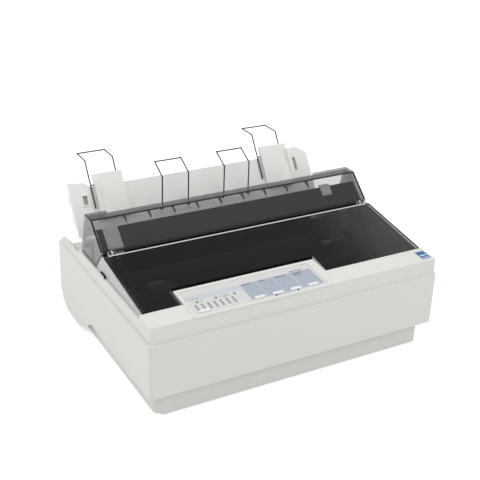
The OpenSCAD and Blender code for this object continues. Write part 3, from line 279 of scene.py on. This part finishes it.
MATERIALS = {
    "housing": moulded("housing_plastic", (0.775, 0.78, 0.745)),
    "lower_case": moulded("lower_case_plastic", (0.74, 0.745, 0.71)),
    "smoked_cover": smoked("smoked_plastic", 0.76, body=0.07),
    "white_plastic": moulded("guide_plastic", (0.90, 0.905, 0.88), corner_shade=0.06),
    "wire": metal("dark_wire", (0.06, 0.06, 0.065), 0.4, (1, 1, 6)),
    "steel": metal("turned_steel", (0.62, 0.63, 0.65), 0.25, (12, 1, 1)),
    "plated_sheet": metal("plated_sheet", (0.60, 0.61, 0.62), 0.38, (1, 8, 1), 0.06),
    "rubber": rubber("black_rubber", (0.022, 0.022, 0.024)),
    "dark_plastic": moulded("dark_plastic", (0.021, 0.022, 0.024), 0.5, 0.03, corner_shade=0.3, gloss=0.15),
    "gear_plastic": moulded("gear_plastic", (0.72, 0.70, 0.60), 0.35),
    "knob_plastic": moulded("knob_plastic", (0.62, 0.62, 0.58), 0.42),
    "board": circuit_board("circuit_board"),
    "copper": windings("transformer_windings"),
    "label": printed("label_film", (0.70, 0.71, 0.69)),
    "lens": lens("lamp_lens", (0.10, 0.42, 0.12)),
    "button": moulded("button_plastic", (0.86, 0.86, 0.84), 0.38, 0.08),
    "lever": moulded("lever_plastic", (0.10, 0.17, 0.33), 0.40),
    "ribbon": cloth_ribbon("inked_ribbon"),
    "socket_metal": metal("nickel_shell", (0.66, 0.66, 0.63), 0.3, (1, 1, 9)),
    "cable": moulded("cable_film", (0.70, 0.70, 0.66), 0.4),
    "head_metal": metal("cast_head", (0.34, 0.35, 0.37), 0.45, (1, 1, 1), 0.3),
}
SLOT_OF = {entry["node"]: entry["material_slot"] for entry in frame["record"]["subparts"]}
# The front cover gets a darker copy of its slot's plastic with dimmer gloss, painted shade that darkens its
# face; its flat panel is hazy at the right end.
SHADED_COPY_OF = {"front_cover": smoked("smoked_lid_painted_shade", 0.40, body=0.02, polish=0.22, scuffs=0.12)}


def finish_of(node):
    return SHADED_COPY_OF.get(node) or MATERIALS[SLOT_OF[node]]


def paint(obj, material):
    obj.data.materials.clear()
    obj.data.materials.append(material)


for node_name, cad_object in frame["nodes"].items():
    paint(cad_object, finish_of(node_name))


# ---------------------------------------------------------------- rounded copies of CAD nodes

EDGE_SEGMENTS = 2
SHARP_ANGLE, FLAT_ANGLE = radians(28), radians(0.8)
WELD_DISTANCE = 1e-6


def rounded_copy(node, width):
    """Copy of a CAD node with its edges rounded by width; it stands for the node on the same body."""
    mesh = frame["nodes"][node].data.copy()
    shape = bmesh.new()
    shape.from_mesh(mesh)
    bmesh.ops.remove_doubles(shape, verts=shape.verts, dist=WELD_DISTANCE)
    bmesh.ops.dissolve_limit(shape, angle_limit=FLAT_ANGLE, verts=shape.verts, edges=shape.edges)
    shape.to_mesh(mesh)
    shape.free()
    copy = bpy.data.objects.new("rounded_" + node, mesh)
    bpy.context.scene.collection.objects.link(copy)
    for polygon in mesh.polygons:
        polygon.use_smooth = True
    mesh.set_sharp_from_angle(angle=SHARP_ANGLE)
    bevel = copy.modifiers.new("rounded_edges", "BEVEL")
    bevel.width = width
    bevel.segments = EDGE_SEGMENTS
    bevel.limit_method = "ANGLE"
    bevel.angle_limit = SHARP_ANGLE
    bevel.use_clamp_overlap = True
    bevel.harden_normals = False
    paint(copy, finish_of(node))
    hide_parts(node)
    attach(copy, BODY_OF[node])


# Width in millimetres of each piece's rounded edges.
ROUNDED = {
    "upper_housing": 1.2, "lower_case": 1.0, "front_cover": 0.35, "rear_cover": 0.35, "paper_guide": 0.45,
    "left_edge_guide": 0.35, "right_edge_guide": 0.35, "platen_knob": 0.6, "power_switch": 0.5,
    "pause_button": 0.5, "button_1": 0.5, "button_2": 0.5, "button_3": 0.5, "button_4": 0.5,
    "ribbon_cartridge": 0.7, "ribbon_knob": 0.4, "release_lever": 0.5, "gap_lever": 0.5,
    "exit_panel": 0.3, "guide_brackets": 0.4, "carriage": 0.5,
}
for node_name, edge_mm in ROUNDED.items():
    rounded_copy(node_name, edge_mm * MM)


# The paper guide's pivot, as y and z in millimetres of the case, and its tilt.
GUIDE_PIVOT = (77.0, 109.5)
GUIDE_ANGLE = radians(56.3)
# How far up the plate an edge guide's lower end reaches, and how far that end goes down, in millimetres.
EDGE_GUIDE_FOOT, FOOT_DROP = 37, 11


def lengthened_down(obj):
    """Carries the lower edge of an edge guide further down the tilted plate, behind the raised cover."""
    up_plate = Vector((0, math.cos(GUIDE_ANGLE), math.sin(GUIDE_ANGLE)))
    pivot = Vector((0, GUIDE_PIVOT[0] * MM + CASE_Y, GUIDE_PIVOT[1] * MM))
    for vertex in obj.data.vertices:
        if (vertex.co - pivot).dot(up_plate) < EDGE_GUIDE_FOOT * MM:
            vertex.co -= up_plate * FOOT_DROP * MM


for node_name in ("left_edge_guide", "right_edge_guide"):
    lengthened_down(bpy.data.objects["rounded_" + node_name])


def given_to_faces(obj, material, facing, least):
    """Gives the faces that look along facing, or against it, a material of their own: a copy of the plastic
    whose tint and haze paint the light and shade those faces get.
    """
    obj.data.materials.append(material)
    place = len(obj.data.materials) - 1
    for polygon in obj.data.polygons:
        if abs(polygon.normal.dot(Vector(facing))) > least:
            polygon.material_index = place


front_cover, rear_cover = (bpy.data.objects["rounded_" + name] for name in ("front_cover", "rear_cover"))
# Painted light: the front cover's side walls get a paler, milkier copy of its plastic, so they show lighter
# than its face.
given_to_faces(front_cover, smoked("lid_wall_painted_light", 0.80, body=0.72, haze=0.94), (1, 0, 0), 0.7)
# Painted light and shade: the rear cover's side walls get a milkier copy of its plastic, and its crown top a
# darker one.
given_to_faces(rear_cover, smoked("crown_wall_painted_light", 0.78, body=0.42, haze=0.46), (1, 0, 0), 0.7)
given_to_faces(rear_cover, smoked("crown_top_painted_shade", 0.62, body=0.34, haze=0.20), (0, 0, 1), 0.95)


# ---------------------------------------------------------------- printing and trim

label_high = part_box("panel_label")[1]
STRIP_SLOPE = 2.2 / 26.4
PRINT_LIFT = 0.06 * MM


def label_height(y):
    """Height of the label's face at the depth y of the frame."""
    return label_high.z - (label_high.y - y) * STRIP_SLOPE


def block(shape, low, top):
    """Adds a closed block between two rings of four points."""
    low, top = ([shape.verts.new(point) for point in ring] for ring in (low, top))
    shape.faces.new(top)
    shape.faces.new(low[::-1])
    for i in range(4):
        j = (i + 1) % 4
        shape.faces.new([low[i], low[j], top[j], top[i]])


def printed_patch(shape, x0, x1, y0, y1, height_at=label_height, lift=PRINT_LIFT):
    """Adds a thin tile, in millimetres of the case, that lies on a sloping face."""
    block(shape, *([(x * MM, y * MM + CASE_Y, height_at(y * MM + CASE_Y) + rise)
                    for x, y in ((x0, y0), (x1, y0), (x1, y1), (x0, y1))] for rise in (-lift, lift)))


def piece(name, shape, material, body="case"):
    """Turns a bmesh into a piece that rides on a body."""
    mesh = bpy.data.meshes.new(name)
    bmesh.ops.recalc_face_normals(shape, faces=shape.faces)
    shape.to_mesh(mesh)
    shape.free()
    obj = bpy.data.objects.new(name, mesh)
    bpy.context.scene.collection.objects.link(obj)
    paint(obj, material)
    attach(obj, body)
    return obj


# The label's printing, as x and y in millimetres of the case.
CELL_EDGES = (-60, -40, -19.5, 3.5, 30)
CELL_TOP, CELL_BOTTOM, CELL_GAP = -96.5, -127.6, 0.35
BAND_LEFT, BAND_BOTTOM = -127, -105.5
# Rows of strokes that stand for words: left end, lower edge, length and height.
WORDS = [(left + 3, CELL_TOP - 3.0, length, 1.5) for left, length in zip(CELL_EDGES, (11, 8, 14, 12))] + [
    (CELL_EDGES[3] + 3, CELL_TOP - 6.0, 10, 1.5), (CELL_EDGES[3] + 1, CELL_TOP + 1.2, 17, 1.4),
    (-29, -129.6, 21, 0.9), (-120, -103, 9, 0.8), (-90, -108.6, 12, 0.8), (-86, -110.6, 9, 0.8),
    (-118, -108.6, 10, 0.8),
]
STROKE, STROKE_GAP = 1.5, 0.45
MARK_LEFT, MARK_BOTTOM, MARK_SIZE = (-33, -6), -130.2, (2.6, 2.2)
DASH_ROWS, DASH_COLUMNS = 6, 7
DASH_START, DASH_PITCH, DASH_SIZE = (-122, -124), (7.2, 1.9), (2.6, 0.8)
INK = printed("printing_ink", (0.05, 0.055, 0.07))
CELL_BLUE = printed("cell_blue", (0.40, 0.455, 0.54))
PALE_BLUE = printed("pale_blue", (0.60, 0.64, 0.69))
PALE_FILM = printed("pale_film", (0.74, 0.745, 0.72))


def ink_patch(shape, x, y, width, height):
    printed_patch(shape, x, x + width, y, y + height, lift=2 * PRINT_LIFT)


def word(shape, x, y, length, height):
    """A row of short strokes that stands for a word, with no letters in it."""
    for i in range(int(length / (STROKE + STROKE_GAP))):
        drop = 0.25 * (i % 3)
        ink_patch(shape, x + i * (STROKE + STROKE_GAP), y + drop * 0.5, STROKE, height - 1.5 * drop)


def make_label():
    cells = bmesh.new()
    for left, right in zip(CELL_EDGES, CELL_EDGES[1:]):
        printed_patch(cells, left + CELL_GAP, right - CELL_GAP, CELL_BOTTOM, CELL_TOP)
    piece("label_cells", cells, CELL_BLUE)
    band = bmesh.new()
    printed_patch(band, BAND_LEFT, CELL_EDGES[0] - CELL_GAP, BAND_BOTTOM, CELL_TOP)
    piece("label_band", band, PALE_BLUE)
    ink = bmesh.new()
    for place_and_size in WORDS:
        word(ink, *place_and_size)
    for x in MARK_LEFT:
        ink_patch(ink, x, MARK_BOTTOM, *MARK_SIZE)
    for row in range(DASH_ROWS):
        for column in range(DASH_COLUMNS):
            x, y = DASH_START[0] + DASH_PITCH[0] * column, DASH_START[1] + DASH_PITCH[1] * row
            ink_patch(ink, x, y, *DASH_SIZE)
    piece("label_printing", ink, INK)


make_label()


# The front strip's lower edge and the sticker on it, in millimetres of the case.
STRIP_FRONT_Y, STRIP_FRONT_H = -133.4, 110.8
STICKER_X, STICKER_Y = (165.5, 177.5), (-129, -113.5)
BAR_X, BAR_Y = (167, 176), ((-122.6, -120.6), (-127.4, -125.8))


def strip_height(y):
    """Height of the sloping front strip at the depth y of the frame."""
    return STRIP_FRONT_H * MM + (y - STRIP_FRONT_Y * MM - CASE_Y) * STRIP_SLOPE


def make_sticker():
    """Plain blue and white sticker at the right end of the front strip, in place of a marked one."""
    ground = bmesh.new()
    printed_patch(ground, *STICKER_X, *STICKER_Y, height_at=strip_height, lift=0.1 * MM)
    piece("sticker", ground, printed("sticker_blue", (0.008, 0.12, 0.36)))
    stripe = bmesh.new()
    for bar_y in BAR_Y:
        printed_patch(stripe, *BAR_X, *bar_y, height_at=strip_height, lift=0.14 * MM)
    piece("sticker_stripes", stripe, PALE_FILM)


make_sticker()


# ---------------------------------------------------------------- edges of the smoked covers

EDGE_SMOKE = moulded("cover_edge", (0.008, 0.008, 0.009), 0.3, 0.03, corner_shade=0.0, gloss=0.3)
GLINT_ROD_METAL = metal("bead_glint_metal", (0.82, 0.82, 0.83), 0.3, (12, 1, 1), 0.04)
PAINTED_HIGHLIGHT = moulded("painted_highlight_edge", (0.46, 0.47, 0.48), 0.3, 0.03, corner_shade=0.0)
rear_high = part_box("rear_cover")[1]
COVER_X = rear_high.x / MM
CROWN_H = rear_high.z / MM
# Corners of the covers' side outline, as y and z in millimetres of the case.
SEAM = (2.8, 131.0)
ABOVE_SEAM = (4.3, 132.35)
CROWN = (34.0, CROWN_H)
CROWN_REAR_Y = 51.8
FRONT_EDGE = (-106.5, 113.0)
PLATE_END = (-4.0, 129.53)
LID_CORNER = (3.2, 128.3)
SEAM_FOOT = (21.6, 106.3)
RIB_FOOT = (27.3, 152.99)
# Room at each end of the seam for the hinge ears, and the ribs' places along x.
EAR_ROOM = 3.5
RIB_COUNT, RIB_START, RIB_PITCH, RIB_T = 9, -137.0, 30.375, 1.2
LIT_EDGE_IN = 3.2
UPWARDS = (0, 0, 1)
FACE_OUT = (0, SEAM[1] - CROWN[1], CROWN[0] - SEAM[0])
LID_OUT = (0, FRONT_EDGE[1] - PLATE_END[1], PLATE_END[0] - FRONT_EDGE[0])


def at(x, y, z):
    """Point of the frame from millimetres of the case."""
    return Vector((x * MM, y * MM + CASE_Y, z * MM))


def strip(shape, start, end, outward, width, proud=0.12, depth=0.9):
    """Adds a thin bar along a line; width runs from the line to one side, across outward."""
    start, end, outward = at(*start), at(*end), Vector(outward).normalized()
    side = (end - start).normalized().cross(outward) * width * MM
    section = ((Vector(), proud), (side, proud), (side, -depth), (Vector(), -depth))
    block(shape, *([place + shift + outward * rise * MM for shift, rise in section]
                   for place in (end, start)))


def make_cover_edges():
    """Dark edges of both covers and of the ribs, and a light grey strip at the right of the front cover, a
    painted highlight for its lit edge.
    """
    left, right = -COVER_X, COVER_X
    dark = bmesh.new()
    strip(dark, (left, *ABOVE_SEAM), (left, *CROWN), FACE_OUT, 2.0)
    strip(dark, (right, *CROWN), (right, *ABOVE_SEAM), FACE_OUT, 2.2)
    strip(dark, (right, *CROWN), (left, *CROWN), UPWARDS, 1.1)
    strip(dark, (left, *CROWN), (right, *CROWN), FACE_OUT, 1.15)
    for i in range(RIB_COUNT):
        rib = RIB_START + i * RIB_PITCH + RIB_T / 2
        strip(dark, (rib, *CROWN), (rib, *RIB_FOOT), FACE_OUT, RIB_T, -0.15, 1.6)
    strip(dark, (left, *CROWN), (left, CROWN_REAR_Y, CROWN_H), UPWARDS, 0.8)
    strip(dark, (right - EAR_ROOM, *SEAM), (left + EAR_ROOM, *SEAM), FACE_OUT, 2.2)
    piece("rear_cover_edges", dark, EDGE_SMOKE, "rear_cover")

    lid = bmesh.new()
    strip(lid, (left, *FRONT_EDGE), (left, *PLATE_END), LID_OUT, 1.2, 0.3)
    strip(lid, (right, *PLATE_END), (right, *FRONT_EDGE), LID_OUT, 1.9, 0.3)
    strip(lid, (left, *SEAM_FOOT), (left, *LID_CORNER), (-1, 0, 0), 0.7, 0.05)
    strip(lid, (right, *LID_CORNER), (right, *SEAM_FOOT), (1, 0, 0), 0.7, 0.05)
    piece("front_cover_edges", lid, EDGE_SMOKE, "front_cover")

    # Painted highlight: a light grey strip stands for the lit right edge of the front cover.
    lit = bmesh.new()
    lit_x = right - LIT_EDGE_IN
    strip(lit, (lit_x, PLATE_END[0] - 4, PLATE_END[1] - 0.65), (lit_x, *FRONT_EDGE), LID_OUT, 0.8, 0.3)
    piece("front_cover_painted_highlight", lit, PAINTED_HIGHLIGHT, "front_cover")


SLOT_X, SLOT_Y, SLOT_DROP, SLOT_W = 143.5, (16, 28), 10.2, 7


def make_slot_shade():
    """Painted shade: a dark plate behind the slot beside the pale bracket of the exit panel, where the slot
    lies in shade.
    """
    slope = (CROWN[1] - SEAM[1]) / (CROWN[0] - SEAM[0])
    ends = [(SLOT_X, y, SEAM[1] + (y - SEAM[0]) * slope - SLOT_DROP) for y in SLOT_Y]
    shape = bmesh.new()
    strip(shape, *ends, FACE_OUT, -SLOT_W, 0.0, 0.8)
    piece("slot_shade", shape, MATERIALS["dark_plastic"], "case")


ROD_R, ROD_END_R, ROD_END_ROOM = 0.8, 1.3, 7
ROD_LINE, ROD_END = (-3.9, 130.1), (-3.7, 129.9)
ROD_SEGMENTS, ROD_END_RINGS = 16, 10
ROD_SHARP_ANGLE = radians(40)


def make_bead_glint():
    """Painted highlight: a bright metal rod along the bead of the front cover stands for the glint along the
    bead, with a rounded end at either side.
    """
    reach = COVER_X - ROD_END_ROOM
    shape = bmesh.new()
    turn = Matrix.Rotation(radians(90), 4, "Y")
    middle = Matrix.Translation(at(0, *ROD_LINE))
    bmesh.ops.create_cone(shape, cap_ends=True, segments=ROD_SEGMENTS, radius1=ROD_R * MM,
                          radius2=ROD_R * MM, depth=2 * reach * MM, matrix=middle @ turn)
    for side in (-1, 1):
        bmesh.ops.create_uvsphere(shape, u_segments=ROD_SEGMENTS, v_segments=ROD_END_RINGS,
                                  radius=ROD_END_R * MM, matrix=Matrix.Translation(at(side * reach, *ROD_END)))
    rod = piece("bead_glint_rod", shape, GLINT_ROD_METAL, "front_cover")
    for polygon in rod.data.polygons:
        polygon.use_smooth = True
    rod.data.set_sharp_from_angle(angle=ROD_SHARP_ANGLE)


make_cover_edges()
make_slot_shade()
make_bead_glint()


# ---------------------------------------------------------------- paper guide

# Each hole in the guide's arms, from and to along x and then up the plate, and its back's two faces.
ARM_HOLES = ((-160.4, -153.6, 43.8, 56.2), (131.4, 136.6, 41.5, 59.5))
HOLE_BACK = (-3.1, -2.1)


def on_guide(x, l, n):
    """Point of the tilted paper guide, from millimetres along x, up the plate, and out of its face."""
    return at(x, GUIDE_PIVOT[0] + l * math.cos(GUIDE_ANGLE) - n * math.sin(GUIDE_ANGLE),
              GUIDE_PIVOT[1] + l * math.sin(GUIDE_ANGLE) + n * math.cos(GUIDE_ANGLE))


def make_guide_trim():
    """Backs of the holes in both arms, in a grey that paints the shade inside the holes."""
    backs = bmesh.new()
    for x0, x1, l0, l1 in ARM_HOLES:
        block(backs, *([on_guide(x, l, n) for x, l in ((x0, l0), (x1, l0), (x1, l1), (x0, l1))]
                       for n in HOLE_BACK))
    piece("arm_hole_painted_shade", backs, moulded("hole_back_painted_shade", (0.42, 0.42, 0.41), corner_shade=0.1), "paper_guide")


make_guide_trim()


# ---------------------------------------------------------------- light, floor and background

def seen_directly(nodes, links):
    """1 for the camera's rays and those that polished and clear surfaces send on, 0 for the others."""
    paths = nodes.new("ShaderNodeLightPath")
    share = paths.outputs["Is Camera Ray"]
    for kind in ("Is Glossy Ray", "Is Transmission Ray"):
        either = nodes.new("ShaderNodeMath")
        either.operation = "MAXIMUM"
        links.new(share, either.inputs[0])
        links.new(paths.outputs[kind], either.inputs[1])
        share = either.outputs[0]
    return share


SOFT_LIGHT = 0.66
FLOOR_HALF, FLOOR_GLOW = 6.0, 0.55


def make_world():
    """White to the eye and in reflections, and an even soft light for every surface."""
    world = bpy.data.worlds.new("studio")
    bpy.context.scene.world = world
    world.use_nodes = True
    tree = world.node_tree
    tree.nodes.clear()
    by_eye = tree.nodes.new("ShaderNodeMixShader")
    tree.links.new(seen_directly(tree.nodes, tree.links), by_eye.inputs["Fac"])
    for socket, colour, strength in ((1, (1.0, 1.0, 0.99, 1), SOFT_LIGHT), (2, (1, 1, 1, 1), 1.0)):
        background = tree.nodes.new("ShaderNodeBackground")
        background.inputs["Color"].default_value = colour
        background.inputs["Strength"].default_value = strength
        tree.links.new(background.outputs["Background"], by_eye.inputs[socket])
    out = tree.nodes.new("ShaderNodeOutputWorld")
    tree.links.new(by_eye.outputs["Shader"], out.inputs["Surface"])


def make_floor():
    """Pale floor: white to the eye like the photograph's ground, and matt for the light it throws back."""
    mesh = bpy.data.meshes.new("floor")
    corners = [(x * FLOOR_HALF, y * FLOOR_HALF, 0) for x, y in ((-1, -1), (1, -1), (1, 1), (-1, 1))]
    mesh.from_pydata(corners, [], [(0, 1, 2, 3)])
    floor = bpy.data.objects.new("floor", mesh)
    bpy.context.scene.collection.objects.link(floor)
    s = Shader("floor_paper")
    paper = s.node("BsdfDiffuse", Color=s.blend(s.between(s.noise(40, 3), 0, 1), grey(0.80), grey(0.83)))
    glow = s.node("Emission", Color=(1, 1, 1, 1), Strength=FLOOR_GLOW)
    bright = s.join("AddShader", paper, glow)
    surface = s.join("MixShader", paper, bright, Fac=seen_directly(s.tree.nodes, s.tree.links))
    paint(floor, s.output(surface.outputs["Shader"]))


AIM_LIGHTS_AT = Vector((0, 0, 0.08))


def area_light(name, place, size, power):
    """Soft light aimed at the printer, which polished surfaces don't mirror."""
    data = bpy.data.lights.new(name, "AREA")
    data.shape = "RECTANGLE"
    data.size, data.size_y = size
    data.energy = power
    light = bpy.data.objects.new(name, data)
    bpy.context.scene.collection.objects.link(light)
    light.location = place
    light.rotation_mode = "QUATERNION"
    light.rotation_quaternion = (AIM_LIGHTS_AT - Vector(place)).to_track_quat("-Z", "Y")
    light.visible_glossy = False


make_world()
make_floor()
area_light("key_light", place=(-1.6, 0.5, 1.8), size=(1.6, 1.2), power=14)
area_light("front_light", place=(1.1, -1.2, 1.9), size=(1.8, 1.4), power=15)
bpy.context.scene.view_settings.view_transform = "Standard"
